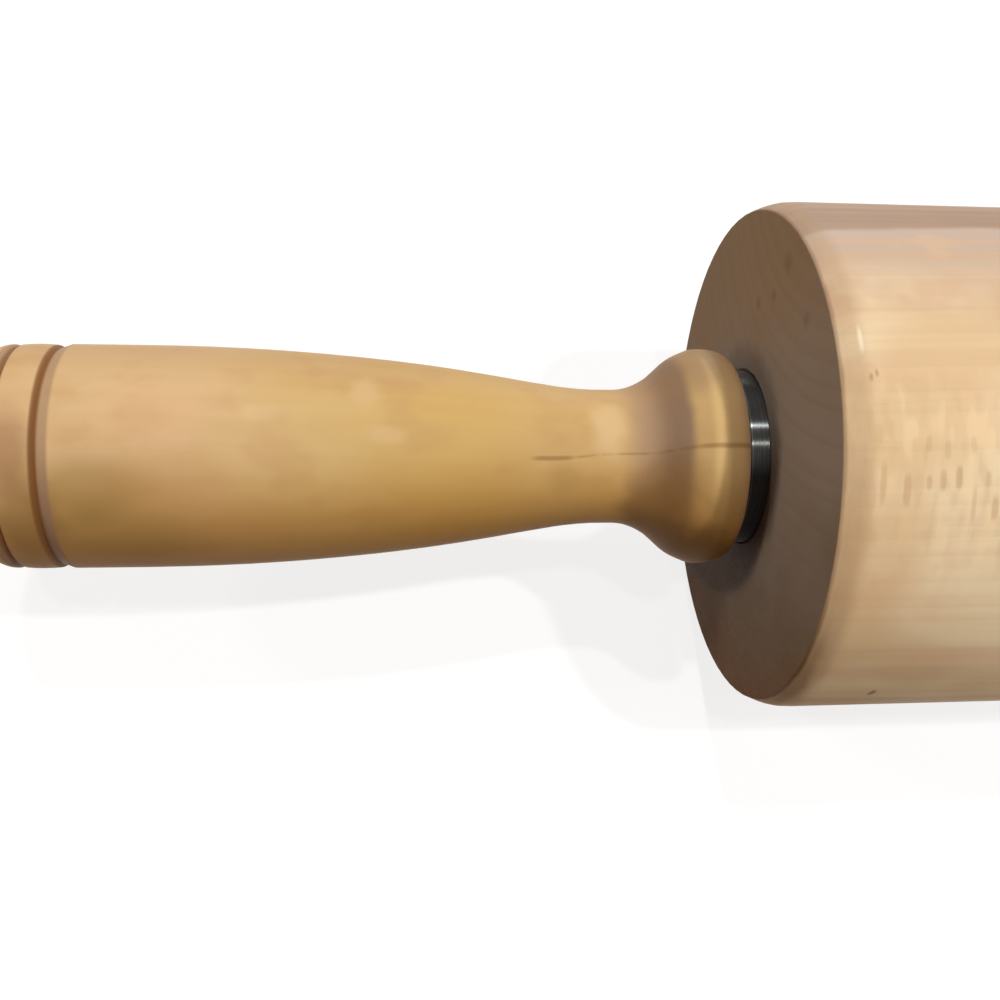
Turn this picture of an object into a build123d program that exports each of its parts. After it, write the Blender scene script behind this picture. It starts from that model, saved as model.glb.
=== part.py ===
"""Baker's rolling pin: a maple barrel that turns on two ball bearings.

The bearings run on a steel rod that carries two turned handles. Millimetres. +X runs along the pin,
+Z is up, and the origin is the middle of the barrel, on its axis.
Each end piece is made for the right-hand end (+X), and its left-hand twin is its mirror image.
"""

import os
from math import cos, pi, radians, sin, tan

from build123d import *

# Barrel
barrel_diameter = 82.55
barrel_length = 381.0
barrel_edge_run = 3.4  # length of the eased edge, along the pin
barrel_edge_drop = 1.3  # its depth, towards the axis
barrel_edge_blend = 9.0  # radius where the eased edge meets the rolling surface
barrel_face_fall = 0.4  # how far the end face falls back from its middle to its rim
barrel_face_round = 0.25  # radius where the eased edge meets the end face
barrel_bore_diameter = 14.3

# Ball bearing
bearing_bore = 12.7
bearing_outside = 28.575
bearing_width = 7.9375
bearing_proud = 3.1  # how far the outer ring stands out of the barrel's end
bearing_corner = 0.5  # round on the outer ring's outside corners
bearing_bore_corner = 0.3  # round on the inner ring's bore corners
ball_diameter = 4.7625
ball_count = 8
race_conformity_share = 1.04  # race groove radius over ball radius
race_depth = 0.9  # depth of each race groove below its ring's shoulder
race_clearance = 0.02  # between a ball and each race

# Ball cage, pressed from two wavy ribbons
cage_sheet = 0.4
cage_band = 1.6  # ribbon width, towards the axis
cage_clearance = 0.1  # between a ball and its pocket
rivet_diameter = 0.8
rivet_head_diameter = 1.4
rivet_head = 0.3

# Shields, one each side of the balls
shield_sheet = 0.35
shield_set_back = 0.4  # from the bearing's face to the shield
shield_rim = 0.5  # length of the rolled rim that sits in the outer ring
shield_seat = 0.75  # depth of the outer ring's shield seat, outwards
shield_gap = 0.25  # between the shield and the inner ring

# Rod
rod_end_diameter = 9.525
rod_end_chamfer = 1.0
rod_past_nut = 1.5

# Fits and running room
press_gap = 0.01  # ring to seat, and ring to rod
slip_gap = 0.1  # rod to the pieces that slide over its ends
glue_gap = 0.05  # plug to its socket
end_float = 0.1  # washer to inner ring
relief_depth = 1.0  # hollow behind the bearing, so that only its outer ring bears on the wood
seat_chamfer = 0.4  # lead-in at the mouth of the bearing seat

# Spacer washer between the rod's shoulder and the handle
spacer_thickness = 0.3
spacer_diameter = 17.0

# Handle outline: places from its inner end face, and from its tip
handle_length = 120.0
handle_diameter = 34.9
belly_from_tip = 24.0  # widest place of the grip
neck_diameter = 21.9
neck_from_face = 20.5
crown_diameter = 35.4
crown_from_face = 3.8
crown_end_drop = 2.2  # depth of the rolled edge from the crown to the inner end face

# The two turned grooves near the handle's tip, and the bead between them
bead_from_tip = 11.9
bead_pitch = 5.9  # from groove to groove
bead_crown = 0.12
groove_depth = 0.6
groove_steep_side = 0.55
groove_shallow_side = 1.9

# Points along the grip, from neck to belly, and along the bell, from neck to crown:
# share of the distance, share of the growth in radius
grip_shares = [(0.175, 0.225), (0.361, 0.560), (0.639, 0.875)]
bell_shares = [(0.24, 0.040), (0.36, 0.149), (0.48, 0.327), (0.60, 0.592), (0.72, 0.817), (0.84, 0.949)]

# Fixings inside the handle's tip
socket_depth = 28.0  # from the handle's tip to the washer's seat
plug_diameter = 20.0
plug_length = 12.0
plug_lead = 0.6  # chamfer on the plug's inner edge
washer_diameter = 19.0
washer_thickness = 1.6
nut_across_flats = 14.29
nut_sides = 6
nut_height = 8.3
nut_corner_cut = 0.9  # how far the nut's turned crown cuts its corners, towards the axis
nut_crown_angle = 30  # degrees
nut_collar_height = 3.2  # the round collar that holds the locking ring
nut_collar_wall = 0.9
lock_ring_height = 2.4
lock_ring_gap = 0.05

# Small allowance by which a cutter passes the surface that it cuts
overrun = 1.0

# Places along +X
barrel_end = barrel_length / 2
bearing_face = barrel_end + bearing_proud
bearing_centre = bearing_face - bearing_width / 2
seat_floor = bearing_face - bearing_width
rod_shoulder = bearing_face + end_float
handle_face = rod_shoulder + spacer_thickness
handle_tip = handle_face + handle_length
socket_floor = handle_tip - socket_depth
nut_seat = socket_floor + washer_thickness
collar_from = nut_seat + nut_height
collar_end = collar_from + nut_collar_height
rod_end = collar_end + rod_past_nut
plug_from = handle_tip - plug_length

# Radii
barrel_radius = barrel_diameter / 2
ball_radius = ball_diameter / 2
pitch_radius = (bearing_bore + bearing_outside) / 4
race_radius = ball_radius * race_conformity_share
inner_race_floor = pitch_radius - ball_radius - race_clearance
outer_race_floor = pitch_radius + ball_radius + race_clearance
inner_shoulder = inner_race_floor + race_depth
outer_shoulder = outer_race_floor - race_depth
shield_seat_radius = outer_shoulder + shield_seat
rod_radius = bearing_bore / 2 - press_gap
rod_end_radius = rod_end_diameter / 2
sliding_radius = rod_end_radius + slip_gap
plug_radius = plug_diameter / 2
socket_radius = plug_radius + glue_gap


def turned(outline):
    """Solid turned about the X axis from a closed outline of (place along X, radius)."""
    return revolve(outline, Axis.X)


def polygon(points):
    return make_face(Polyline(*points, close=True))


def section(x_from, x_to, r_inside, r_outside):
    """One side of a plain ring, cut through along the axis."""
    return polygon([(x_from, r_inside), (x_to, r_inside), (x_to, r_outside), (x_from, r_outside)])


def ring(x_from, x_to, r_inside, r_outside):
    """Plain turned ring."""
    return turned(section(x_from, x_to, r_inside, r_outside))


def corners(face, *places):
    """The face's corners at these places."""
    return [min(face.vertices(), key=lambda v: (Vector(*v) - Vector(*p)).length) for p in places]


def around(count, make):
    """One copy for each step of a full turn about the X axis."""
    return [Rot(360 * i / count, 0, 0) * make() for i in range(count)]


# Barrel


def barrel():
    face_rim, face_radius = barrel_end - barrel_face_fall, barrel_radius - barrel_edge_drop
    seat_radius = bearing_outside / 2 + press_gap
    bore_radius = barrel_bore_diameter / 2
    right_end = [
        (seat_floor - relief_depth, bore_radius),
        (seat_floor - relief_depth, shield_seat_radius),
        (seat_floor, shield_seat_radius),
        (seat_floor, seat_radius),
        (barrel_end - seat_chamfer, seat_radius),
        (barrel_end, seat_radius + seat_chamfer),
        (face_rim, face_radius),
        (barrel_end - barrel_edge_run, barrel_radius),
    ]
    left_end = [(-x, r) for x, r in reversed(right_end)]
    outline = polygon(right_end + left_end)
    for (x, r), radius in (
        ((face_rim, face_radius), barrel_face_round),
        ((barrel_end - barrel_edge_run, barrel_radius), barrel_edge_blend),
    ):
        outline = fillet(corners(outline, (x, r), (-x, r)), radius)
    return turned(outline)


# Bearing


def race(x, floor_radius, side):
    """Disc that cuts a race groove into a ring's outline: side is 1 to open outwards and -1 inwards."""
    return Pos(x, floor_radius + side * race_radius) * Circle(race_radius)


def outer_ring():
    outside = bearing_outside / 2
    step = shield_set_back + shield_rim
    near, far = bearing_face - bearing_width, bearing_face
    outline = polygon(
        [
            (near, outside),
            (near, shield_seat_radius),
            (near + step, shield_seat_radius),
            (near + step, outer_shoulder),
            (far - step, outer_shoulder),
            (far - step, shield_seat_radius),
            (far, shield_seat_radius),
            (far, outside),
        ]
    )
    outline = fillet(corners(outline, (near, outside), (far, outside)), bearing_corner)
    return turned(outline - race(bearing_centre, outer_race_floor, -1))


def inner_ring():
    bore = bearing_bore / 2
    near, far = bearing_face - bearing_width, bearing_face
    outline = polygon([(near, bore), (far, bore), (far, inner_shoulder), (near, inner_shoulder)])
    outline = fillet(corners(outline, (near, bore), (far, bore)), bearing_bore_corner)
    return turned(outline - race(bearing_centre, inner_race_floor, 1))


def ball(radius):
    return Pos(bearing_centre, 0, pitch_radius) * Sphere(radius)


def balls():
    return Compound(children=around(ball_count, lambda: ball(ball_radius)))


def pocket_core(radius):
    """Round bar, pointing away from the axis, where a ball sits in its cage."""
    return Pos(bearing_centre, 0, pitch_radius) * Cylinder(radius, cage_band + overrun)


def rivet_spot():
    return Rot(180 / ball_count, 0, 0) * Pos(bearing_centre, 0, pitch_radius) * Rot(0, 90, 0)


def cage_half(side):
    """One of the two ribbons pressed round the balls. side is 1 for the outboard one, or -1."""
    pocket = ball_radius + cage_clearance
    reach = pocket + cage_sheet
    inside, outside = pitch_radius - cage_band / 2, pitch_radius + cage_band / 2
    flat = ring(bearing_centre, bearing_centre + side * cage_sheet, inside, outside)
    band = ring(bearing_centre, bearing_centre + side * (reach + overrun), inside, outside)
    bulges = [band & core for core in around(ball_count, lambda: pocket_core(reach))]
    pockets = around(ball_count, lambda: pocket_core(pocket))
    holes = around(ball_count, lambda: rivet_spot() * Cylinder(rivet_diameter / 2 + press_gap, 2 * overrun))
    return flat + bulges - pockets - holes


def cage_rivets():
    def rivet():
        shank = Cylinder(rivet_diameter / 2, 2 * cage_sheet)
        heads = [
            Pos(0, 0, side * (cage_sheet + rivet_head / 2)) * Cylinder(rivet_head_diameter / 2, rivet_head)
            for side in (1, -1)
        ]
        return rivet_spot() * (shank + heads)

    return Compound(children=around(ball_count, rivet))


def shield(face, inward):
    """Pressed disc, set back from the bearing's face. inward is the way to the balls, 1 or -1."""
    rim_radius = shield_seat_radius - press_gap
    outer, inner = face + inward * shield_set_back, face + inward * (shield_set_back + shield_sheet)
    rim_end = face + inward * (shield_set_back + shield_rim)
    return turned(
        polygon(
            [
                (outer, inner_shoulder + shield_gap),
                (outer, rim_radius),
                (rim_end, rim_radius),
                (rim_end, rim_radius - shield_sheet),
                (inner, rim_radius - shield_sheet),
                (inner, inner_shoulder + shield_gap),
            ]
        )
    )


def outboard_shield():
    return shield(bearing_face, -1)


def inboard_shield():
    return shield(bearing_face - bearing_width, 1)


# Rod and fixings


def rod():
    right_end = [
        (rod_shoulder, rod_radius),
        (rod_shoulder, rod_end_radius),
        (rod_end - rod_end_chamfer, rod_end_radius),
        (rod_end, rod_end_radius - rod_end_chamfer),
        (rod_end, 0),
    ]
    left_end = [(-x, r) for x, r in reversed(right_end)]
    return turned(polygon(right_end + left_end))


def spacer_washer():
    return ring(rod_shoulder, handle_face, sliding_radius, spacer_diameter / 2)


def nut_washer():
    return ring(socket_floor, nut_seat, sliding_radius, washer_diameter / 2)


def lock_nut():
    """Hexagon nut with a round collar at its outer end, which is rolled over the locking ring."""
    flats = nut_across_flats / 2
    points = flats / cos(pi / nut_sides)
    crown = points - nut_corner_cut
    crown_run = nut_corner_cut * tan(radians(nut_crown_angle))
    hexagon = Plane.YZ.offset(nut_seat) * RegularPolygon(flats, nut_sides, major_radius=False)
    turned_blank = turned(
        polygon(
            [
                (nut_seat, 0),
                (nut_seat, crown),
                (nut_seat + crown_run, points),
                (collar_from - crown_run, points),
                (collar_from, crown),
                (collar_from, 0),
            ]
        )
    )
    collar = ring(collar_from, collar_end, 0, flats)
    bore = ring(nut_seat - overrun, collar_end + overrun, 0, sliding_radius)
    pocket_end = collar_end - nut_collar_wall
    pocket = ring(pocket_end - lock_ring_height, pocket_end, 0, flats - nut_collar_wall)
    return (extrude(hexagon, nut_height) & turned_blank) + collar - bore - pocket


def lock_ring():
    """Nylon ring in the nut's collar, which grips the rod's thread."""
    outer = nut_across_flats / 2 - nut_collar_wall - lock_ring_gap
    x_to = collar_end - nut_collar_wall - lock_ring_gap
    return ring(x_to - lock_ring_height + 2 * lock_ring_gap, x_to, rod_end_radius + lock_ring_gap, outer)


# Handle


def handle_outline():
    """One side of the handle's lengthwise section, from its axis out, before it is bored."""
    belly, neck, crown = handle_diameter / 2, neck_diameter / 2, crown_diameter / 2
    x_neck, x_crown = handle_face + neck_from_face, handle_face + crown_from_face
    x_belly = handle_tip - belly_from_tip
    first_groove = handle_tip - bead_from_tip - bead_pitch / 2
    second_groove = first_groove + bead_pitch
    along, against = (1, 0), (-1, 0)

    def between(shares, x_from, x_to, r_from, r_to):
        return [(x_from + t * (x_to - x_from), r_from + g * (r_to - r_from)) for t, g in shares]

    end_radius = crown - crown_end_drop
    foot = Line((handle_face, 0), (handle_face, end_radius))
    rolled_edge = EllipticalCenterArc(
        (x_crown, end_radius), crown_from_face, crown_end_drop, start_angle=90, arc_size=90
    )
    bell = Spline(
        (x_neck, neck),
        *between(bell_shares, x_neck, x_crown, neck, crown),
        (x_crown, crown),
        tangents=[against, against],
    )
    grip = Spline(
        (x_neck, neck),
        *between(grip_shares, x_neck, x_belly, neck, belly),
        (x_belly, belly),
        tangents=[along, along],
    )
    shoulder = belly - bead_crown
    groove_floor = shoulder - groove_depth
    bead_from, bead_to = first_groove + groove_steep_side, second_groove - groove_steep_side
    dome_from = second_groove + groove_shallow_side / 2
    grip_groove = Polyline(
        (x_belly, belly),
        (first_groove - groove_shallow_side, belly),
        (first_groove, groove_floor),
        (bead_from, shoulder),
    )
    bead = ThreePointArc((bead_from, shoulder), ((bead_from + bead_to) / 2, belly), (bead_to, shoulder))
    tip_groove = Polyline((bead_to, shoulder), (second_groove, groove_floor), (dome_from, shoulder))
    dome = EllipticalCenterArc((dome_from, 0), handle_tip - dome_from, shoulder, arc_size=90)
    axis_line = Line((handle_tip, 0), (handle_face, 0))
    return make_face([foot, rolled_edge, bell, grip, grip_groove, bead, tip_groove, dome, axis_line])


def handle(outline):
    bore = section(handle_face - overrun, socket_floor + overrun, -overrun, sliding_radius)
    socket = section(socket_floor, handle_tip + overrun, -overrun, socket_radius)
    return turned(outline - bore - socket)


def end_plug(outline):
    """Plug over the nut, turned flush with the handle's domed tip."""
    stock = polygon(
        [
            (plug_from, -overrun),
            (plug_from, plug_radius - plug_lead),
            (plug_from + plug_lead, plug_radius),
            (handle_tip + overrun, plug_radius),
            (handle_tip + overrun, -overrun),
        ]
    )
    return turned(outline & stock)


def end_pieces():
    """Every piece of the right-hand end, by name."""
    outline = handle_outline()
    return {
        "bearing_outer_ring": outer_ring(),
        "bearing_inner_ring": inner_ring(),
        "bearing_balls": balls(),
        "cage_outboard_half": cage_half(1),
        "cage_inboard_half": cage_half(-1),
        "cage_rivets": cage_rivets(),
        "bearing_outboard_shield": outboard_shield(),
        "bearing_inboard_shield": inboard_shield(),
        "spacer_washer": spacer_washer(),
        "handle": handle(outline),
        "nut_washer": nut_washer(),
        "lock_nut": lock_nut(),
        "lock_ring": lock_ring(),
        "end_plug": end_plug(outline),
    }


def main():
    os.makedirs("parts", exist_ok=True)
    pieces = {"barrel": barrel(), "rod": rod()}
    for name, shape in end_pieces().items():
        pieces["right_" + name] = shape
        pieces["left_" + name] = mirror(shape, Plane.YZ)
    for name, shape in pieces.items():
        export_step(shape, f"parts/{name}.step")
    turns_share = (1 + ball_diameter / (2 * pitch_radius)) / 2
    ball_room = 2 * pitch_radius * sin(pi / ball_count) - ball_diameter
    print(f"overall length {2 * handle_tip:.2f}, cage turns per barrel turn {turns_share:.6f}")
    print(f"room between balls {ball_room:.2f}")


main()
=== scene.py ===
# %% [markdown]
# # A baker's rolling pin
#
# This lesson dresses a rolling pin whose solids already exist: a maple barrel that turns on ball
# bearings, on a steel rod between two turned handles. The solids keep their shape and place. Each
# cell adds one thing that a photographer or a finisher would: a camera, lamps, oiled wood, polished
# steel. All lengths are in metres, +X runs along the pin, and +Z is up.

from math import cos, pi, radians, sin

import bpy
from mathutils import Matrix, Vector


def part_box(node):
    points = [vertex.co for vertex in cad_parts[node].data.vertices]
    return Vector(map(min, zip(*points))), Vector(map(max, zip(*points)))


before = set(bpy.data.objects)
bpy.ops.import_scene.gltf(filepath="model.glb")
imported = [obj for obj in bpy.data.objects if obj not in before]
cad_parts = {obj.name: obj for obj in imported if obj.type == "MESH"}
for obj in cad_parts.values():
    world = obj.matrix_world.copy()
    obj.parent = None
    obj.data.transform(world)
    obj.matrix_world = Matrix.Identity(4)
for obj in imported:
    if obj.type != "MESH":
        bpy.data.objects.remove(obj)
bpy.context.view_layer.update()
MM = 0.001
barrel_low, barrel_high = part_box("barrel")
barrel_radius = barrel_high.z
barrel_left_end = barrel_low.x
print("pieces:", len(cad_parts), "barrel radius:", round(barrel_radius / MM, 2), "mm")

# %% [markdown]
# ## The camera
#
# The picture was taken from close by, opposite the left handle, so near parts look large and
# circles about the pin's axis look like ellipses. A lens and a distance that give those same
# ellipses were worked out first. The camera is then placed the way a person would place it: stand
# at a spot along the pin, back off from its axis, rise above the counter, and turn the head a
# little right and down.

# %% Place the camera
camera_spot = barrel_left_end - 59.5 * MM
camera_distance = 174.9 * MM
camera_rise = radians(60)
camera_turn = 0.1088
camera_dip = 0.0405
lens_focal = 38.7

along = Vector((1, 0, 0))
front = Vector((0, -cos(camera_rise), sin(camera_rise)))
upward = front.cross(along)
forward = -front * cos(camera_turn) + along * sin(camera_turn)
side = along * cos(camera_turn) + front * sin(camera_turn)
aim = forward * cos(camera_dip) - upward * sin(camera_dip)
head = upward * cos(camera_dip) + forward * sin(camera_dip)

camera = bpy.data.objects.new("camera", bpy.data.cameras.new("camera"))
bpy.context.collection.objects.link(camera)
camera.matrix_world = Matrix((side, head, -aim)).transposed().to_4x4()
camera.location = Vector((camera_spot, 0, 0)) + front * camera_distance
camera.data.lens = lens_focal
camera.data.sensor_width = 36
camera.data.clip_start = 5 * MM
bpy.context.scene.camera = camera
bpy.context.scene.view_settings.view_transform = "Standard"
print("camera at", [round(v, 4) for v in camera.location])

# %% [markdown]
# ## A way to wire materials
#
# Every finish here is made of nodes: small sums that give a colour, a roughness or a bump at each
# point of the surface. Wiring them by hand is long-winded, so this helper fills a socket with a
# number, or links it when it is given another node's output. Its first half holds the sums on numbers
# and places.


# %% Sums in a material
class Sums:
    """A material's node tree, with a method for each kind of sum that the recipes use."""

    def __init__(self, name):
        self.material = bpy.data.materials.new(name)
        self.material.use_nodes = True
        self.tree = self.material.node_tree
        self.tree.nodes.clear()

    def make(self, kind, sockets, output=0, **settings):
        node = self.tree.nodes.new(kind)
        for name, value in settings.items():
            setattr(node, name, value)
        for key, value in sockets.items():
            if isinstance(value, bpy.types.NodeSocket):
                self.tree.links.new(value, node.inputs[key])
            else:
                node.inputs[key].default_value = value
        return node.outputs[output] if node.outputs else None

    def math(self, operation, *values):
        return self.make("ShaderNodeMath", dict(enumerate(values)), operation=operation)

    def times(self, *values):
        total = values[0]
        for value in values[1:]:
            total = self.math("MULTIPLY", total, value)
        return total

    def add_share(self, value, share, base):
        """base, with this share of value added to it."""
        return self.math("MULTIPLY_ADD", value, share, base)

    def vector(self, operation, *values, output=0):
        return self.make("ShaderNodeVectorMath", dict(enumerate(values)), output, operation=operation)

    def place(self):
        """The point on the piece in millimetres, and the surface's direction there."""
        node = self.tree.nodes.new("ShaderNodeTexCoord")
        return self.vector("MULTIPLY", node.outputs["Object"], (1 / MM,) * 3), node.outputs["Normal"]

    def parts(self, vector):
        """The three parts of a vector."""
        node = self.tree.nodes.new("ShaderNodeSeparateXYZ")
        self.tree.links.new(vector, node.inputs[0])
        return node.outputs[0], node.outputs[1], node.outputs[2]

    def join(self, x, y, z):
        return self.make("ShaderNodeCombineXYZ", {0: x, 1: y, 2: z})


# %% [markdown]
# The second half holds what a finisher thinks in: clouds, soft edges, tints and a surface. The methods
# are named for what they make, so that a finish reads like a recipe.


# %% Textures, tints and the surface
class Finish(Sums):
    """A material, with the textures, tints and reliefs that lead to its surface."""

    def noise(self, point, scale=1.0, detail=2.0, roughness=0.5):
        """Cloudy values about 0.5. scale is how many clouds there are in one unit of point."""
        sockets = {"Vector": point, "Scale": scale, "Detail": detail, "Roughness": roughness}
        return self.make("ShaderNodeTexNoise", sockets)

    def between(self, value, low, high, to_low=0.0, to_high=1.0):
        """value from low..high to to_low..to_high, eased at both ends."""
        sockets = {"Value": value, "From Min": low, "From Max": high, "To Min": to_low, "To Max": to_high}
        return self.make("ShaderNodeMapRange", sockets, interpolation_type="SMOOTHSTEP")

    def band(self, value, middle, half_width, soft):
        """1 within half_width of middle, easing to 0 over the width soft."""
        away = self.math("ABSOLUTE", self.math("SUBTRACT", value, middle))
        return self.between(away, half_width + soft, half_width)

    def blend(self, share, one, other):
        """Colour one where share is 0, and other where it is 1."""
        colours = [c if isinstance(c, bpy.types.NodeSocket) else (*c, 1.0) for c in (one, other)]
        sockets = {0: share, 6: colours[0], 7: colours[1]}
        return self.make("ShaderNodeMix", sockets, output=2, data_type="RGBA")

    def tint(self, colour, tone, value, low, high, share=1.0):
        """colour, with up to this share of tone where value goes from low to high."""
        return self.blend(self.between(value, low, high, 0.0, share), colour, tone)

    def bump(self, height, depth, strength=1.0):
        """Relief whose full height is depth, in metres."""
        return self.make("ShaderNodeBump", {"Height": height, "Distance": depth, "Strength": strength})

    def surface(self, **sockets):
        """The final shader. Names use _ for the spaces of the shader's own."""
        named = {name.replace("_", " "): value for name, value in sockets.items()}
        shader = self.make("ShaderNodeBsdfPrincipled", named)
        self.make("ShaderNodeOutputMaterial", {"Surface": shader})
        return self.material


# %% [markdown]
# A maker matches colours, so the colours of wood and nylon below are written as they look on a
# screen, and a small sum turns them into the light that a shader works with. Metals, lamps and the
# counter are given as light straight away. Each solid comes with slots for its finish, so dressing a
# piece means filling its slots.


# %% Colours and slots
def seen(red, green, blue):
    """A colour as it looks on a screen, 0 to 255, turned into the light that a shader works with."""
    return tuple(((c / 255 + 0.055) / 1.055) ** 2.4 for c in (red, green, blue))


def dress(material, *names):
    """Gives the material to every slot of these pieces."""
    for name in names:
        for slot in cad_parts[name].material_slots:
            slot.material = material
    print(material.name, "on", ", ".join(names))


print("middle grey on a screen is", round(seen(128, 128, 128)[0], 3), "of white's light")

# %% [markdown]
# ## Lamps
#
# Each lamp is given as the share of full brightness that it alone would give a white surface turned
# towards it, so that the shares of the lamps that reach a place add up to about one. That is easier
# to judge than watts, which grow with the square of the lamp's distance. A spot lamp needs four times
# the watts of a flat one, because its watts are counted over a whole sphere.


# %% A lamp by direction and share
spot_watts = 4


def direction_of(tilt, turn):
    """From the pin's front, tilt upwards, then turn to the right, both in degrees."""
    tilt, turn = radians(tilt), radians(turn)
    return (front * cos(tilt) + upward * sin(tilt)) * cos(turn) + along * sin(turn)


def hang(name, kind, share, tilt, turn, distance, size, colour=(1, 1, 1), target=(barrel_left_end, 0, 0)):
    data = bpy.data.lights.new(name, kind)
    data.color = colour
    data.energy = share * (pi * distance) ** 2
    if kind == "AREA":
        data.size = size
    else:
        data.shadow_soft_size = size / 2
        data.energy *= spot_watts
    thing = bpy.data.objects.new(name, data)
    bpy.context.collection.objects.link(thing)
    thing.location = Vector(target) + direction_of(tilt, turn) * distance
    thing.rotation_euler = direction_of(tilt, turn).to_track_quat("Z", "Y").to_euler()
    print(name, [round(v, 2) for v in thing.location], round(data.energy, 2), "W")
    return thing


# %% [markdown]
# Three small ceiling lamps light the pin from the front. Two hang straight across from the camera
# and put two glints on the steel ring. The third hangs to the right, so that the barrel's rim throws
# a curved shadow across the end of the handle's bell. A cooler lamp beyond the handle's tip reaches
# the barrel's end grain, where the bell's shadow falls just below the bell. A beam from low on the
# right lifts the underside of the barrel, and a wide lamp behind lights the far side.

# %% Hang the lamps
middle_of_pin = (0, 0, 0)
hang("high_lamp", "AREA", 0.27, 39.5, -1, 1.6, 0.055)
hang("low_lamp", "AREA", 0.15, 16.5, -1, 1.6, 0.055, (1.0, 0.97, 0.90))
hang("right_lamp", "AREA", 0.42, 19, 20.3, 1.6, 0.06, (1.0, 0.98, 0.93))
hang("end_lamp", "AREA", 0.17, 45, -55, 1.2, 0.15, (0.92, 0.96, 1.0))
hang("back_lamp", "AREA", 0.32, 114, 10, 1.6, 0.50, (1.0, 0.97, 0.92))
underside = hang("underside_beam", "SPOT", 0.46, -49, 22, 1.2, 0.10, (0.78, 0.89, 1.0), middle_of_pin)
underside.data.spot_size = radians(15.8)
underside.data.spot_blend = 0.22

# %% [markdown]
# ## The counter and the sky
#
# The pin rests on a pale counter. To the camera and in reflections both the counter and the sky are
# white, but the light that they throw on the pin is weak and brown, as in a room with dark
# surroundings. A Light Path node tells the two cases apart.


# %% White to the eye, dim to the pin
def white_to_the_eye(tree):
    """1 for rays that are seen, mirrored or pass through glass, and 0 for light that bounces."""
    path = tree.nodes.new("ShaderNodeLightPath")
    total = path.outputs["Is Camera Ray"]
    for ray in ("Is Glossy Ray", "Is Transmission Ray"):
        node = tree.nodes.new("ShaderNodeMath")
        node.operation, node.use_clamp = "ADD", True
        tree.links.new(total, node.inputs[0])
        tree.links.new(path.outputs[ray], node.inputs[1])
        total = node.outputs[0]
    return total


# %% [markdown]
# Near the pin the counter is white only where the lamps reach it, so that it keeps the pin's shadow.
# Further out it glows by itself and meets the sky without a line. Its edge is twenty metres away,
# where counter and sky look the same.

# %% Make the counter
counter_size = 40.0
counter_pale, counter_bounce = (0.24, 0.24, 0.24), (0.15, 0.09, 0.045)
glow_near, near_mm, far_mm = 0.82, 450.0, 1300.0

bpy.ops.mesh.primitive_plane_add(size=counter_size, location=(0, 0, barrel_low.z))
counter = bpy.context.object
counter.name = "counter"
paper = Finish("counter_top")
eye = white_to_the_eye(paper.tree)
from_pin = paper.vector("LENGTH", paper.place()[0], output=1)
glow = paper.times(eye, paper.between(from_pin, near_mm, far_mm, glow_near, 1.0))
matt = paper.make("ShaderNodeBsdfDiffuse", {"Color": paper.blend(eye, counter_bounce, counter_pale)})
light = paper.make("ShaderNodeEmission", {"Color": (1, 1, 1, 1), "Strength": glow})
paper.make("ShaderNodeOutputMaterial", {"Surface": paper.make("ShaderNodeAddShader", {0: matt, 1: light})})
counter.data.materials.append(paper.material)
print("counter", counter_size, "m wide, at height", round(counter.location.z / MM, 2), "mm")

# %% [markdown]
# The sky is the room beyond the lamps. Its brown light fills the shadows, so they are warm and soft
# and never black. Its colour is a little darker than the counter's, as dark furniture would be.

# %% Make the sky
room_light = (0.14, 0.09, 0.042)
sky = bpy.data.worlds.new("sky")
bpy.context.scene.world = sky
sky.use_nodes = True
mix = sky.node_tree.nodes.new("ShaderNodeMix")
mix.data_type = "RGBA"
mix.inputs[6].default_value = (*room_light, 1)
mix.inputs[7].default_value = (1, 1, 1, 1)
sky.node_tree.links.new(white_to_the_eye(sky.node_tree), mix.inputs[0])
sky.node_tree.links.new(mix.outputs[2], sky.node_tree.nodes["Background"].inputs["Color"])
print("room light", room_light)

# %% [markdown]
# ## Wood, from the inside out
#
# A turned piece is cut from a plank, and the plank from a tree. So the grain is made the same way:
# rings about the tree's heart, which lies outside the piece, with fine fibres along the pin and thin
# sheets of ray cells that run out from the heart. The surface then shows whatever the lathe laid
# bare: long streaks on the sides, arcs and pores on an end, and short flecks only where the surface
# runs along the rays. A flat picture of wood wrapped round the pin would show none of that.


# %% Grain that runs through the piece
def height_and_front(finish, point):
    """How far a point lies from the pin's axis, upwards in the picture and towards its front."""
    height = finish.vector("DOT_PRODUCT", point, tuple(upward), output=1)
    return height, finish.vector("DOT_PRODUCT", point, tuple(front), output=1)


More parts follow.
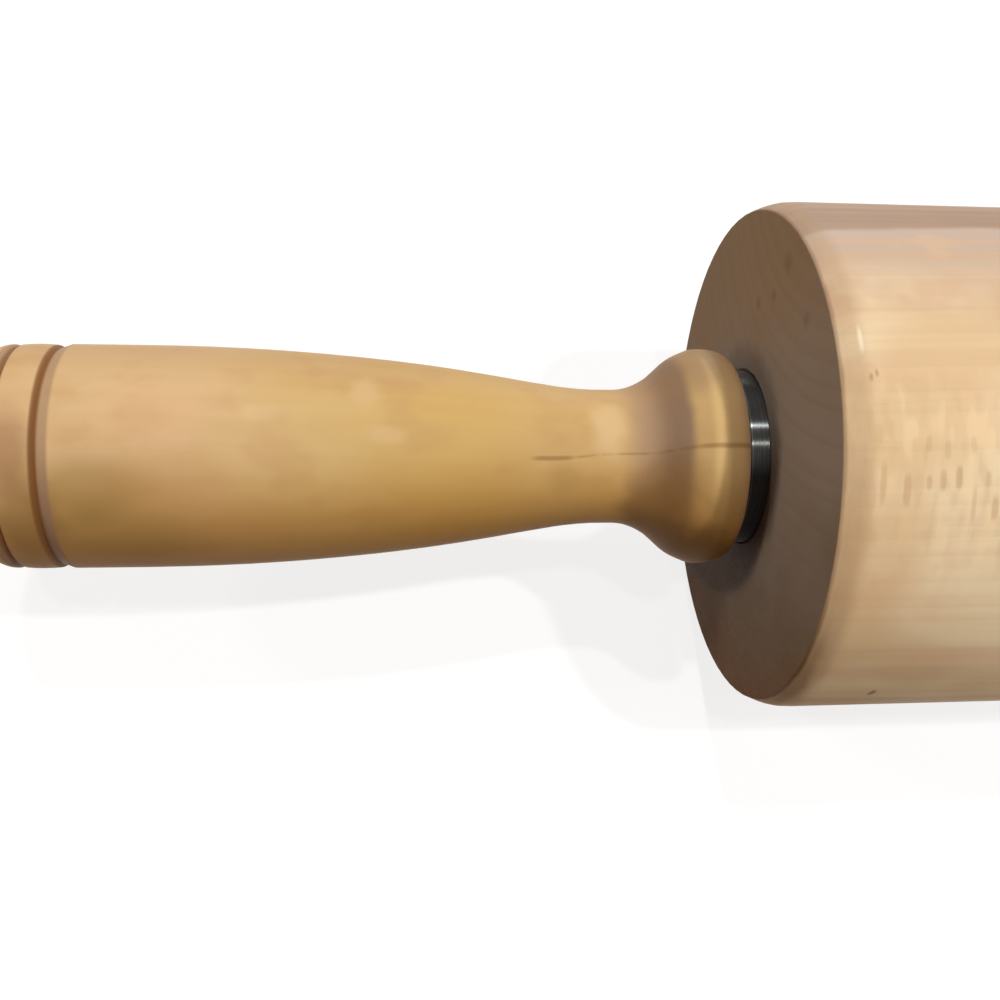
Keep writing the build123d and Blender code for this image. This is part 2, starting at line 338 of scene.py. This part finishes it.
def grain(finish, heart, seed):
    """What the wood is like at each point. heart is the tree's middle in mm, across and up."""
    bend_width, ring_width = 14.0, 3.4
    point, normal = finish.place()
    x, y, z = finish.parts(point)
    normal_x, normal_y, normal_z = finish.parts(normal)
    bend_point = finish.join(finish.add_share(x, 0.25, seed * 31), finish.times(y, 0.4), z)
    bend = finish.math("SUBTRACT", finish.noise(bend_point, scale=0.02), 0.5)
    across = finish.add_share(bend, bend_width, finish.math("SUBTRACT", y, heart[0]))
    up = finish.math("SUBTRACT", z, heart[1])
    reach = finish.vector("LENGTH", finish.join(across, up, 0.0), output=1)
    sweep = finish.times(finish.math("ARCTAN2", across, up), Vector(heart).length)
    facing = finish.math("ADD", finish.times(normal_y, across), finish.times(normal_z, up))
    leaning = finish.math("ABSOLUTE", finish.math("DIVIDE", facing, reach))

    uneven = finish.noise(finish.join(seed, 0.0, reach), scale=0.11)
    year = finish.math("FRACT", finish.add_share(uneven, 4.0, finish.times(reach, 1 / ring_width)))
    slow_x = finish.add_share(x, 0.02, seed)
    ray_point = finish.join(finish.times(x, 1.05), finish.times(sweep, 0.30), finish.times(reach, 0.22))
    return {
        "point": point,
        "x": x,
        "normal_x": finish.math("ABSOLUTE", normal_x),
        "from_middle": finish.math("ABSOLUTE", x),
        "turn": finish.times(finish.math("ARCTAN2", *height_and_front(finish, point)), 180 / pi),
        "rings": finish.times(finish.between(year, 0.40, 0.94), finish.between(year, 1.0, 0.95)),
        "fibres": finish.noise(finish.join(slow_x, sweep, reach), 1.5, detail=3, roughness=0.6),
        "streaks": finish.noise(finish.join(finish.times(slow_x, 0.5), sweep, reach), 0.20),
        "rays": finish.noise(ray_point, detail=1),
        "on_ray": finish.between(leaning, 0.26, 0.06),
        "pores": finish.noise(finish.join(slow_x, sweep, reach), 2.4, roughness=0.7),
        "clouds": finish.noise(finish.join(finish.add_share(x, 0.6, seed * 7), y, z), 0.05),
        "mottle": finish.noise(finish.join(finish.add_share(x, 0.7, seed * 5), y, z), 0.16),
    }


# %% [markdown]
# ## Marks with a place of their own
#
# Noise gives wood its texture, but each real piece also has a few marks that an eye remembers: a pale
# patch of curl, a fleck, a darker stain. Those are set one by one. Each is a soft oval at a distance
# from the pin's middle and a turn about its axis, and the wood's own mottle makes its outline ragged.
# A higher power in the same sum makes the oval a bar with round corners, as a ray's dash is. The
# distance counts both ways, so a mark on the barrel shows near both of its ends.

# %% Set marks on the wood
mark_fades_at, mark_full_at = 1.9, 0.9


def set_marks(finish, wood, colour, rows, power=1.0):
    """A row is: distance from the middle in mm, turn, half length in mm, half turn, share, tone."""
    for from_middle, turn, half_long, half_round, share, tone in rows:
        long_way = finish.math("DIVIDE", finish.math("SUBTRACT", wood["from_middle"], from_middle), half_long)
        round_way = finish.math("DIVIDE", finish.math("SUBTRACT", wood["turn"], turn), half_round)
        ways = [finish.math("POWER", finish.math("ABSOLUTE", way), power) for way in (long_way, round_way)]
        out = finish.vector("LENGTH", finish.join(*ways, 0.0), output=1)
        ragged = finish.math("ADD", wood["mottle"], out)
        colour = finish.tint(colour, tone, ragged, mark_fades_at, mark_full_at, share)
    return colour


# %% [markdown]
# Turns count upwards from the pin's front, 0, to its back, where they jump from 180 to -180 degrees.
# A colour that followed them across that jump would show a seam along the back, so whatever follows
# the turn fades out before it.

# %% The lower and the upper side
back_from, back_full = 120.0, 170.0


def lower_side(finish, wood, start, full):
    """0 above the turn start, 1 below the turn full, and 0 again at the pin's back."""
    fade = finish.between(wood["turn"], -back_full, -back_from)
    return finish.times(finish.between(wood["turn"], start, full), fade)


def upper_side(finish, wood, start, full):
    """0 below the turn start, 1 above the turn full, and 0 again at the pin's back."""
    fade = finish.between(wood["turn"], back_full, back_from)
    return finish.times(finish.between(wood["turn"], start, full), fade)


# %% [markdown]
# ## The barrel
#
# Hard maple, sanded and rubbed with oil: cream, pinker towards the top, with soft streaks and one
# broad darker band on the upper side, partly a painted shade. The tones are laid over one another from
# the broadest to the finest, as they lie in the wood, and each follows one of the grain's own values.


# %% The barrel's side
def barrel_side(finish, wood):
    turn, mottle, streaks = wood["turn"], wood["mottle"], wood["streaks"]
    cream, tan, pink = seen(239, 218, 183), seen(227, 199, 159), seen(199, 180, 166)
    colour = finish.tint(cream, tan, wood["clouds"], 0.42, 0.62)
    upper = finish.between(finish.add_share(wood["clouds"], 24.0, turn), 36.0, 58.0)
    upper = finish.times(upper, finish.between(turn, 135.0, 80.0))
    colour = finish.blend(upper, colour, pink)
    colour = finish.tint(colour, seen(232, 196, 160), mottle, 0.50, 0.68, 0.35)
    colour = finish.tint(colour, seen(216, 180, 144), streaks, 0.46, 0.70, 0.40)
    colour = finish.blend(finish.times(wood["rings"], 0.10), colour, seen(196, 156, 118))
    colour = finish.tint(colour, seen(200, 160, 120), wood["fibres"], 0.50, 0.80, 0.16)
    rosy = finish.times(finish.band(turn, 33.0, 2.5, 5.0), finish.between(mottle, 0.25, 0.6), 0.5)
    return finish.blend(rosy, colour, seen(206, 168, 138))


# %% [markdown]
# The darker band on the upper side is partly the wood's own tone and partly a painted shade where the
# barrel turns away from the lamps. It starts a little lower near the barrel's ends, and its edge
# wanders with the mottle.


# %% The barrel's darker upper band, partly painted shade
def upper_band_and_shade(finish, wood, colour):
    turn = wood["turn"]
    band_from = finish.between(wood["from_middle"], 190.0, 160.0, 51.0, 53.5)
    wavy = finish.add_share(wood["mottle"], 1.6, turn)
    band = finish.between(finish.math("SUBTRACT", wavy, band_from), 0.4, 2.6)
    band = finish.times(band, finish.between(turn, 108.0, 74.0))
    band = finish.times(band, finish.between(wood["streaks"], 0.62, 0.40, 0.72, 1.0), 0.80)
    # Partly a painted shade: the band darkens the upper side.
    return finish.blend(band, colour, seen(161, 134, 114))


# %% [markdown]
# Across its front the lathe cut along the rays, which leaves a row of short brown dashes among small
# pale patches of curl. Near the ends some dashes are set one by one, where an eye would remember them. At
# the left end they stand alone, and everywhere else the rays' own noise adds more.

# %% The barrel's rays
ray_brown = seen(190, 146, 100)
ray_dashes = (
    (185.1, -5.0, 0.46, 3.6, 0.36, ray_brown),
    (181.8, -6.1, 0.54, 2.9, 0.44, ray_brown),
    (178.8, -4.8, 0.42, 1.4, 0.38, ray_brown),
    (176.9, -4.4, 0.48, 1.9, 0.36, ray_brown),
    (174.7, -4.0, 0.48, 2.1, 0.48, ray_brown),
    (172.4, -8.8, 0.38, 3.4, 0.26, ray_brown),
    (169.4, -9.6, 0.50, 2.4, 0.40, ray_brown),
    (170.6, -4.2, 0.40, 1.4, 0.26, ray_brown),
    (179.0, 2.4, 0.45, 1.5, 0.24, ray_brown),
    (176.4, 1.2, 0.45, 1.7, 0.24, ray_brown),
    (172.8, 2.2, 0.45, 1.5, 0.20, ray_brown),
)
by_hand_up_to, by_noise_from = -168.5, -166.5


def barrel_rays(finish, wood, colour):
    curl_point = finish.join(finish.times(wood["x"], 0.42), finish.times(wood["turn"], 0.11), 3.0)
    curl = finish.noise(curl_point, detail=1)
    zone = finish.band(wood["turn"], -4.0, 8.0, 16.0)
    dark_curl = finish.times(finish.between(curl, 0.50, 0.66, 0.0, 0.20), zone)
    pale_curl = finish.times(finish.between(curl, 0.48, 0.34, 0.0, 0.45), zone)
    colour = finish.blend(dark_curl, colour, ray_brown)
    colour = finish.blend(pale_curl, colour, seen(246, 219, 178))
    dashes = finish.times(finish.between(wood["rays"], 0.57, 0.66), wood["on_ray"], 0.42)
    by_noise = finish.between(wood["x"], by_hand_up_to, by_noise_from)
    colour = finish.blend(finish.times(dashes, by_noise), colour, ray_brown)
    return set_marks(finish, wood, colour, ray_dashes, power=1.5)


print("ray dashes set by hand:", len(ray_dashes))

# %% [markdown]
# The eased edge is darker, more so below: partly worn by hands and flour, partly a painted shade
# where it turns away from the lamps. The sharp rim is darker, more so towards the bottom. Three soft
# marks, a painted highlight on the eased edge, two small dark flecks and one on the underside are set one by
# one.

# %% The barrel's edge
eased_from, eased_full = 186.4, 188.8
rim_from, rim_full = 189.7, 190.2
fleck_brown = seen(158, 116, 78)
edge_marks = (
    # The first row is a painted highlight on the ridge of the eased edge.
    (187.1, 22.3, 0.32, 2.6, 0.70, seen(253, 238, 212)),
    (188.4, -14.0, 2.2, 12.0, 0.25, seen(172, 130, 88)),
    (189.2, -56.0, 1.5, 20.0, 0.50, seen(116, 86, 54)),
    (183.5, -19.0, 6.0, 16.0, 0.38, seen(210, 170, 122)),
    (186.4, 14.6, 0.35, 1.0, 0.45, fleck_brown),
    (185.6, 15.4, 0.30, 0.9, 0.45, fleck_brown),
    (176.6, -60.0, 0.55, 1.6, 0.60, seen(104, 72, 48)),
)


def barrel_edge(finish, wood, colour):
    from_middle, mottle = wood["from_middle"], wood["mottle"]
    # The eased edge is darkened, partly wear and partly painted shade, heavier below.
    wear_and_shade = finish.add_share(lower_side(finish, wood, 20.0, -25.0), 0.24, 0.34)
    eased = finish.between(finish.add_share(mottle, 1.6, from_middle), eased_from, eased_full)
    colour = finish.blend(finish.times(eased, wear_and_shade), colour, seen(184, 153, 119))
    # The rim is darkened, more so towards the bottom.
    dark_rim = finish.between(finish.add_share(mottle, 0.5, from_middle), rim_from, rim_full)
    heavier = finish.add_share(lower_side(finish, wood, -20.0, -55.0), 0.5, 0.45)
    colour = finish.blend(finish.times(dark_rim, heavier), colour, seen(112, 76, 52))
    return set_marks(finish, wood, colour, edge_marks)


print("marks near the barrel's edge:", len(edge_marks))

# %% [markdown]
# The ends show the fibres' open mouths, which drink oil and go grey-brown. Arcs of the rings cross
# them faintly. The tones change with the height, raggedly: painted shade makes the lower part darker,
# and the far lower corner is paler again.


# %% The barrel's end grain
def barrel_end_grain(finish, wood, height, ahead):
    grey, warm, low, lowest = seen(175, 160, 148), seen(172, 144, 112), seen(130, 109, 86), seen(122, 84, 48)
    ragged = finish.add_share(wood["clouds"], 26.0, height)
    colour = finish.tint(grey, warm, ragged, 16.0, 44.0)
    # Painted shade: darker and browner towards the bottom, below the handle.
    colour = finish.tint(colour, low, ragged, 14.0, -14.0)
    colour = finish.tint(colour, lowest, ragged, -12.0, -28.0)
    far_corner = finish.times(finish.between(ahead, -12.0, -30.0), finish.between(height, -22.0, -27.0), 0.6)
    colour = finish.blend(far_corner, colour, seen(158, 118, 88))
    colour = finish.blend(finish.times(wood["rings"], 0.10), colour, seen(140, 104, 78))
    return finish.tint(colour, seen(120, 90, 68), wood["pores"], 0.55, 0.75, 0.20)


# %% [markdown]
# A painted shade darkens the wood round the bearing's seat, more on the lower side, and an oval painted
# shadow below the bell deepens the soft one that the end lamp casts. A few small knots of dark fibre
# stand out above. All are placed on the end's own plane, in millimetres up and towards the front.

# %% Painted shade, a painted bell shadow and knots on the barrel's end
bell_shadow_up, bell_shadow_ahead, bell_shadow_half_up, bell_shadow_half_ahead = -15.5, -13.0, 8.5, 20.0
knots = ((28.6, 20.2, 0.8), (24.7, 14.6, 0.5), (24.4, 8.0, 0.5), (19.3, 27.2, 0.6))


def barrel_end(finish, wood):
    height, ahead = height_and_front(finish, wood["point"])
    colour = barrel_end_grain(finish, wood, height, ahead)
    plane = finish.join(height, ahead, 0.0)
    from_axis = finish.vector("LENGTH", plane, output=1)
    # Painted shade round the bearing's seat, heavier below.
    around_seat = finish.between(finish.add_share(wood["mottle"], 3.0, from_axis), 21.5, 17.8)
    painted_shade_round_seat = finish.times(around_seat, finish.between(height, 12.0, -4.0, 0.30, 0.80))
    colour = finish.blend(painted_shade_round_seat, colour, seen(72, 50, 28))
    # An oval painted shadow below the bell.
    stretch = (1 / bell_shadow_half_up, 1 / bell_shadow_half_ahead, 0.0)
    shift = (-bell_shadow_up / bell_shadow_half_up, -bell_shadow_ahead / bell_shadow_half_ahead, 0.0)
    from_bell_shadow = finish.vector("LENGTH", finish.vector("MULTIPLY_ADD", plane, stretch, shift), output=1)
    colour = finish.tint(colour, seen(64, 35, 16), from_bell_shadow, 1.18, 0.88, 0.75)
    for up_mm, front_mm, radius in knots:
        away = finish.vector("DISTANCE", plane, (up_mm, front_mm, 0.0), output=1)
        colour = finish.tint(colour, seen(110, 74, 52), away, radius * 3.0, radius * 0.2, 0.30)
    return colour


print("knots on each end:", len(knots))

# %% [markdown]
# The barrel is one material, because it is one piece of wood. The end's colours take over where the
# surface faces along the pin. Oil soaks in and leaves hardly any shine, so the gloss is low, and
# fibres and rays stand a few hundredths of a millimetre proud.


# %% Finish the barrel
def barrel_maple():
    finish = Finish("barrel_maple")
    wood = grain(finish, heart=(27.0, 66.0), seed=3.0)
    colour = upper_band_and_shade(finish, wood, barrel_side(finish, wood))
    colour = barrel_edge(finish, wood, barrel_rays(finish, wood, colour))
    end_on = finish.between(wood["normal_x"], 0.80, 0.97)
    colour = finish.blend(end_on, colour, barrel_end(finish, wood))
    rough = finish.between(wood["fibres"], 0.3, 0.7, 0.52, 0.64)
    relief = finish.bump(finish.add_share(wood["rays"], 0.4, wood["fibres"]), 0.04 * MM, 0.3)
    return finish.surface(Base_Color=colour, Roughness=rough, Normal=relief, Specular_IOR_Level=0.06)


dress(barrel_maple(), "barrel")

# %% [markdown]
# ## The handles
#
# Maple again, but varnished, which turns it honey-coloured and a little cloudy. The grip is pinkish
# near the tip, deepest at the belly and pale at the neck.


# %% The varnished grip
def grip_wood(finish, wood):
    from_middle = wood["from_middle"]
    pinkish, honey, gold = seen(220, 187, 143), seen(215, 184, 129), seen(212, 177, 112)
    pale, deep = seen(217, 186, 130), seen(188, 142, 88)
    ragged = finish.add_share(wood["mottle"], 22.0, from_middle)
    colour = finish.tint(honey, pinkish, ragged, 272.0, 290.0)
    colour = finish.tint(colour, gold, ragged, 272.0, 250.0)
    colour = finish.tint(colour, pale, from_middle, 236.0, 220.0)
    colour = finish.tint(colour, deep, wood["clouds"], 0.45, 0.70, 0.28)
    colour = finish.tint(colour, deep, wood["mottle"], 0.48, 0.72, 0.28)
    colour = finish.tint(colour, deep, wood["streaks"], 0.50, 0.76, 0.18)
    return finish.blend(finish.times(wood["rings"], 0.05), colour, deep)


# %% [markdown]
# The slope of the bell and its rolled edge cut across the fibres and are greyer than the grip. On the
# slope the grey, and the duller steep part, are also painted shade where the bell turns from the lamps.
# The crown between them is tinted a deeper brown. All places are distances from the pin's middle in
# millimetres.

# %% The bell
slope_from, slope_full = 214.0, 208.5
steep_from, steep_full = 209.5, 205.0
crown_middle, crown_edge = 201.4, 202.0


def bell_wood(finish, wood, colour):
    from_middle, grey, dull = wood["from_middle"], seen(172, 142, 118), seen(140, 115, 93)
    ragged = finish.add_share(wood["mottle"], 1.2, finish.math("SUBTRACT", from_middle, 0.6))
    slope = finish.times(
        finish.between(ragged, slope_from, slope_full), finish.between(ragged, crown_edge, 204.0), 0.85
    )
    colour = finish.blend(slope, colour, grey)
    steep = finish.times(
        finish.between(ragged, steep_from, steep_full), finish.between(ragged, crown_edge, 203.8), 0.80
    )
    colour = finish.blend(steep, colour, dull)
    crown = finish.times(finish.band(ragged, crown_middle, 0.6, 1.6), 0.40)
    colour = finish.blend(crown, colour, seen(176, 140, 96))
    # Painted shadow: the band nearest the barrel, in the rim's cast shadow, is darkened further.
    colour = finish.tint(colour, seen(170, 138, 98), ragged, 198.6, 197.2, 0.75)
    facing_barrel = finish.between(wood["normal_x"], 0.30, 0.75)
    rolled_edge = finish.times(facing_barrel, finish.between(from_middle, 198.0, 197.0), 0.70)
    return finish.blend(rolled_edge, colour, grey)


# %% [markdown]
# The turner cut two grooves near the tip and held a wire in each until it smoked, which leaves a dark
# line in the groove and a dull scorched shoulder beside it. The scorch is heavier on the lower side.

# %% Grooves and scorch
first_groove, second_groove = 299.15, 305.05
scorched_shoulders = (
    (first_groove, first_groove - 1.9, first_groove),
    (second_groove, second_groove, second_groove + 1.1),
)


def scorch(finish, wood, colour):
    from_middle = wood["from_middle"]
    heavier = finish.add_share(lower_side(finish, wood, 25.0, -35.0), 0.30, 0.55)
    for groove, shoulder_from, shoulder_to in scorched_shoulders:
        middle, half = (shoulder_from + shoulder_to) / 2, (shoulder_to - shoulder_from) / 2
        shoulder = finish.times(finish.band(from_middle, middle, half - 0.1, 0.6), heavier)
        colour = finish.blend(shoulder, colour, seen(158, 126, 104))
        burnt_line = finish.times(finish.band(from_middle, groove, 0.25, 0.55), 0.85)
        colour = finish.blend(burnt_line, colour, seen(128, 84, 42))
    return colour


print("grooves at", first_groove, "and", second_groove, "mm from the middle")

# %% [markdown]
# The left handle has marks of its own: patches of curl on the grip, olive patches low on it that are
# partly painted shade, a painted highlight on the neck, and painted shade and a painted shadow round
# the bell. Its lower side is tinted amber and its top duller, both painted shade.

# %% The left handle's marks
pale_curl_and_highlight, curl_warm = seen(230, 202, 156), seen(226, 182, 140)
olive, dark_brown = seen(160, 128, 70), seen(128, 92, 48)
left_handle_marks = (
    # Olive patches, partly the wood's colour and partly a painted shade on the lower side.
    (291.5, -16.0, 8.0, 18.0, 0.50, olive),
    (290.0, -42.0, 14.0, 22.0, 0.40, olive),
    (302.5, 1.0, 3.5, 20.0, 0.60, seen(158, 116, 82)),
    # The next four rows are painted shade below the bell's crown and on its end band; the darkest is a
    # painted shadow.
    (204.5, -12.0, 3.6, 22.0, 0.15, dark_brown),
    (199.5, -64.0, 6.5, 26.0, 0.65, seen(84, 50, 20)),
    (197.6, -28.0, 3.0, 20.0, 0.30, seen(140, 108, 78)),
    (200.0, 64.0, 7.0, 28.0, 0.50, seen(142, 114, 90)),
    (281.0, -9.0, 9.0, 14.0, 0.25, seen(186, 136, 78)),
    (283.5, 20.0, 8.0, 15.0, 0.35, curl_warm),
    (267.5, 22.0, 3.0, 5.0, 0.32, pale_curl_and_highlight),
    (252.4, 38.0, 2.6, 11.0, 0.34, pale_curl_and_highlight),
    (249.0, 12.0, 3.0, 6.0, 0.28, pale_curl_and_highlight),
    # A painted highlight on the neck.
    (215.2, 24.0, 3.0, 26.0, 0.50, pale_curl_and_highlight),
    (222.0, -17.0, 3.0, 15.0, 0.22, olive),
    # The first of these darkens the lower side by the grooves; the second is painted shade low on the bell's
    # slope.
    (301.0, -38.0, 4.5, 34.0, 0.45, dark_brown),
    (206.0, -50.0, 6.5, 42.0, 0.60, seen(124, 92, 52)),
)


def left_marks(finish, wood, colour):
    # Painted shade: the top of the handle is dulled.
    painted_top_shade = finish.times(upper_side(finish, wood, 24.0, 66.0), 0.35)
    colour = finish.blend(painted_top_shade, colour, seen(178, 140, 98))
    # Painted shade: the lower side is tinted amber and darker.
    painted_underside_shade = finish.times(lower_side(finish, wood, 8.0, -40.0), 0.48)
    colour = finish.blend(painted_underside_shade, colour, seen(206, 150, 66))
    return set_marks(finish, wood, colour, left_handle_marks)


print("marks on the left handle:", len(left_handle_marks))

# %% [markdown]
# A check is a hair-thin crack along the grain. This one runs from the grip to the end of the bell,
# rising twice on the way. A check closes and opens with the weather, and old varnish and flour make
# it dark, so the line is darkest where it is widest and fades in between.


# %% The left handle's check
def check(finish, wood, colour):
    from_middle = wood["from_middle"]
    wander = finish.noise(finish.join(wood["x"], 0.0, 0.0), scale=0.3)
    first_rise = finish.between(from_middle, 223.0, 213.5, -1.7, 1.7)
    second_rise = finish.between(from_middle, 210.0, 201.0, 0.0, 3.4)
    course = finish.add_share(wander, 0.8, finish.math("ADD", first_rise, second_rise))
    apart = finish.math("ABSOLUTE", finish.math("SUBTRACT", wood["turn"], course))

    near_start = finish.band(from_middle, 224.2, 2.2, 2.5)
    near_end = finish.between(from_middle, 205.0, 200.5)
    width = finish.add_share(finish.math("ADD", near_start, finish.times(near_end, 0.4)), 1.1, 1.5)
    line = finish.between(finish.math("DIVIDE", apart, width), 1.0, 0.2)
    begun = finish.between(from_middle, 229.0, 225.5)
    patches = finish.noise(finish.join(wood["x"], 4.0, 0.0), scale=0.45)
    faint = finish.between(patches, 0.35, 0.60, 0.08, 0.34)
    dark = finish.math("MAXIMUM", faint, finish.times(finish.math("MAXIMUM", near_start, near_end), 0.50))
    return finish.blend(finish.times(line, begun, dark), colour, seen(126, 84, 40))


# %% [markdown]
# Both handles share the recipe, but each is cut from its own part of the tree, so heart and seed
# differ. The wooden plug was turned together with its handle, and takes the same finish. The varnish
# is rubbed down, so its gloss is soft and even.


# %% Finish the handles
def handle_maple(name, seed, heart, own_marks=()):
    finish = Finish(name)
    wood = grain(finish, heart, seed)
    colour = bell_wood(finish, wood, grip_wood(finish, wood))
    for add in own_marks:
        colour = add(finish, wood, colour)
    colour = scorch(finish, wood, colour)
    relief = finish.bump(wood["fibres"], 0.02 * MM, 0.25)
    return finish.surface(Base_Color=colour, Roughness=0.5, Normal=relief, Specular_IOR_Level=0.08)


left_maple = handle_maple("left_handle_maple", 11.0, (46.0, 30.0), (left_marks, check))
right_maple = handle_maple("right_handle_maple", 17.0, (40.0, -60.0))
dress(left_maple, "left_handle", "left_end_plug")
dress(right_maple, "right_handle", "right_end_plug")

# %% [markdown]
# ## Steel and nylon
#
# The bearing's rings are ground, and the grinding wheel leaves fine lines round them. Lines round a
# ring spread a lamp's reflection across its width, so each ceiling lamp shows as a short bright dash.
# The shader's anisotropy does that, with its direction set round the X axis. A painted dark reflection
# blackens the rings' lower side.


# %% A recipe for steel
def steel(name, colour, roughness, lines, brushed=0.0, painted_lower_reflection=0.0):
    finish = Finish(name)
    point, _ = finish.place()
    x, y, z = finish.parts(point)
    from_axis = finish.vector("LENGTH", finish.join(0.0, y, z), output=1)
    turning = finish.noise(finish.join(x, from_axis, 0.0), scale=lines, detail=3, roughness=0.7)
    smear = finish.noise(point, scale=0.3, detail=3)
    shade = finish.tint(colour, tuple(c * 0.8 for c in colour), smear, 0.35, 0.7)
    # Painted reflection: the lower side is darkened towards near-black.
    if painted_lower_reflection:
        height, _ = height_and_front(finish, point)
        shade = finish.tint(shade, seen(26, 16, 10), height, 1.0, -3.5, painted_lower_reflection)
    rough = finish.between(turning, 0.3, 0.7, roughness * 0.88, roughness * 1.14)
    round_x = finish.make("ShaderNodeTangent", {}, direction_type="RADIAL", axis="X")
    gloss = {"Metallic": 1.0, "Roughness": rough, "Anisotropic": brushed, "Anisotropic_Rotation": 0.25}
    relief = finish.bump(turning, 0.0015 * MM)
    return finish.surface(Base_Color=shade, Normal=relief, Tangent=round_x, **gloss)


# %% [markdown]
# The ground rings are dark, with crisp glints. The pressed shields and cage are duller, the rod is
# turned bright, and the washers and nuts are zinc-plated. Every small piece has its finish, also where
# another piece hides it, because the pin comes apart on a bench.


# %% Finish the metal
def at_both_ends(*pieces):
    """The names of these pieces at the left end and at the right."""
    return [f"{end}_{piece}" for end in ("left", "right") for piece in pieces]


bearing_steel = steel("bearing_steel", (0.13, 0.135, 0.135), 0.25, 9.0, brushed=1.0, painted_lower_reflection=0.85)
pressed_steel = steel("pressed_steel", (0.40, 0.40, 0.41), 0.35, 1.5)
rod_steel = steel("rod_steel", (0.50, 0.50, 0.52), 0.28, 2.5, brushed=0.3)
plated_steel = steel("plated_steel", (0.62, 0.63, 0.64), 0.30, 1.2)
dress(bearing_steel, *at_both_ends("bearing_outer_ring", "bearing_inner_ring", "bearing_balls"))
dress(pressed_steel, *at_both_ends("bearing_outboard_shield", "bearing_inboard_shield"))
dress(pressed_steel, *at_both_ends("cage_outboard_half", "cage_inboard_half", "cage_rivets"))
dress(plated_steel, *at_both_ends("spacer_washer", "nut_washer", "lock_nut"))
dress(rod_steel, "rod")

# %% [markdown]
# The ring that stops each nut from working loose is nylon. It is milky, because light goes a little
# way into it, and its cut surface is faintly uneven.


# %% Finish the nylon
def nylon():
    finish = Finish("nylon")
    point, _ = finish.place()
    speckle = finish.noise(point, scale=1.5)
    colour = finish.tint(seen(238, 236, 226), seen(226, 223, 210), speckle, 0.4, 0.7)
    relief = finish.bump(speckle, 0.02 * MM)
    return finish.surface(Base_Color=colour, Roughness=0.5, Normal=relief, Subsurface_Weight=0.1)


dress(nylon(), *at_both_ends("lock_ring"))
